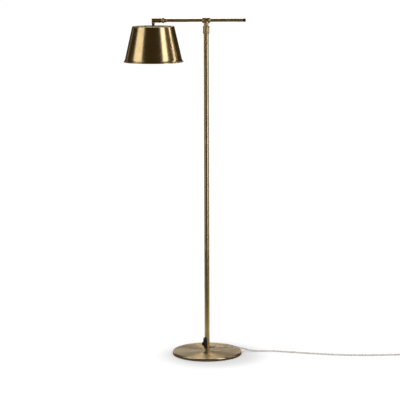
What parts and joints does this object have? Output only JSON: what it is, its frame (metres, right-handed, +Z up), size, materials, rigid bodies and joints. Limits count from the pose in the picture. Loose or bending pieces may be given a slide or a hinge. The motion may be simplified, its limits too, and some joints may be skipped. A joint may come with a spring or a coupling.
{
  "type": "pharmacy floor lamp",
  "caption": "Floor lamp with a round weighted base, a straight pole, a swivelling cross arm that slides, a tilting cone shade that hangs from its end, and a rotary dimmer low on the pole.",
  "frame": {"origin": "centre of the base pad's underside, on the pole's axis", "axes": "+Z up the pole; the arm lies along X with the shade at -X; the front faces -Y"},
  "size_m": [1.2279, 0.28, 1.3663],
  "materials": {
    "antique_brass": "brushed antique brass, lacquered",
    "cast_iron": "as cast",
    "black_felt": "pressed felt",
    "zinc_steel": "zinc plated",
    "nylon": "natural nylon",
    "dark_cap": "blackened brass",
    "black_plastic": "satin moulded",
    "circuit_board": "coated board",
    "bakelite": "moulded bakelite",
    "shell_brass": "bright drawn brass",
    "opal_glass": "opal white",
    "clear_pvc": "clear pvc over two cores",
    "relief_pvc": "clear moulded pvc",
    "tie_plastic": "black strap",
    "plug_plastic": "pale moulded pvc",
    "pin_nickel": "nickel plated"
  },
  "bodies": {
    "stand": {"base_pad": "black_felt", "base_weight": "cast_iron", "base_cover": "antique_brass", "base_stud": "zinc_steel", "base_nut": "zinc_steel", "base_washer": "zinc_steel", "pole_foot_plug": "zinc_steel", "pole_lower": "antique_brass", "pole_middle": "antique_brass", "pole_upper": "antique_brass", "pole_coupler_lower": "zinc_steel", "pole_coupler_upper": "zinc_steel", "pole_lead": "clear_pvc", "swivel_collar": "antique_brass", "switch_housing": "black_plastic", "switch_screw_upper": "zinc_steel", "switch_screw_lower": "zinc_steel", "dimmer_module": "circuit_board", "strain_relief": "relief_pvc", "supply_cord": "clear_pvc", "cord_tail": "clear_pvc", "cord_coil": "clear_pvc", "coil_tie_front": "tie_plastic", "coil_tie_back": "tie_plastic", "plug_body": "plug_plastic", "plug_pin_left": "pin_nickel", "plug_pin_right": "pin_nickel"},
    "head": {"tee_fitting": "antique_brass", "swivel_stem": "zinc_steel", "swivel_washer": "nylon", "swivel_lock_washer": "zinc_steel", "swivel_nut": "zinc_steel", "sleeve_bush_left": "nylon", "sleeve_bush_right": "nylon", "slide_screw": "antique_brass"},
    "arm": {"arm_tube": "antique_brass", "arm_end_cap": "dark_cap", "elbow_ring": "antique_brass", "elbow_axle": "zinc_steel", "elbow_washer": "nylon", "elbow_spring_washer": "zinc_steel", "elbow_nut": "zinc_steel", "arm_lead": "clear_pvc"},
    "shade_group": {"elbow_barrel": "antique_brass", "elbow_end_plug": "antique_brass", "shade_nipple": "zinc_steel", "holder_lead": "clear_pvc", "shade": "antique_brass", "shade_washer": "zinc_steel", "lampholder_cap": "bakelite", "lampholder_body": "bakelite", "lampholder_screw_shell": "shell_brass", "lampholder_contact": "zinc_steel", "bulb_base": "shell_brass", "bulb_globe": "opal_glass"},
    "knob": {"switch_knob": "black_plastic", "knob_shaft": "zinc_steel"}
  },
  "joints": [
    {"name": "head_swivel", "type": "hinge", "parent": "stand", "child": "head", "pos_m": [0, 0, 1.3331], "axis": [0, 0, 1], "range_deg": [-165, 165]},
    {"name": "arm_slide", "type": "slide", "parent": "head", "child": "arm", "axis": [1, 0, 0], "range_m": [-0.12, 0.07]},
    {"name": "shade_tilt", "type": "hinge", "parent": "arm", "child": "shade_group", "pos_m": [-0.1767, 0, 1.3548], "axis": [1, 0, 0], "range_deg": [-80, 80]},
    {"name": "knob_turn", "type": "hinge", "parent": "stand", "child": "knob", "pos_m": [-0.0153, -0.0153, 0.042], "axis": [-0.7071, -0.7071, 0], "range_deg": [0, 270]}
  ]
}
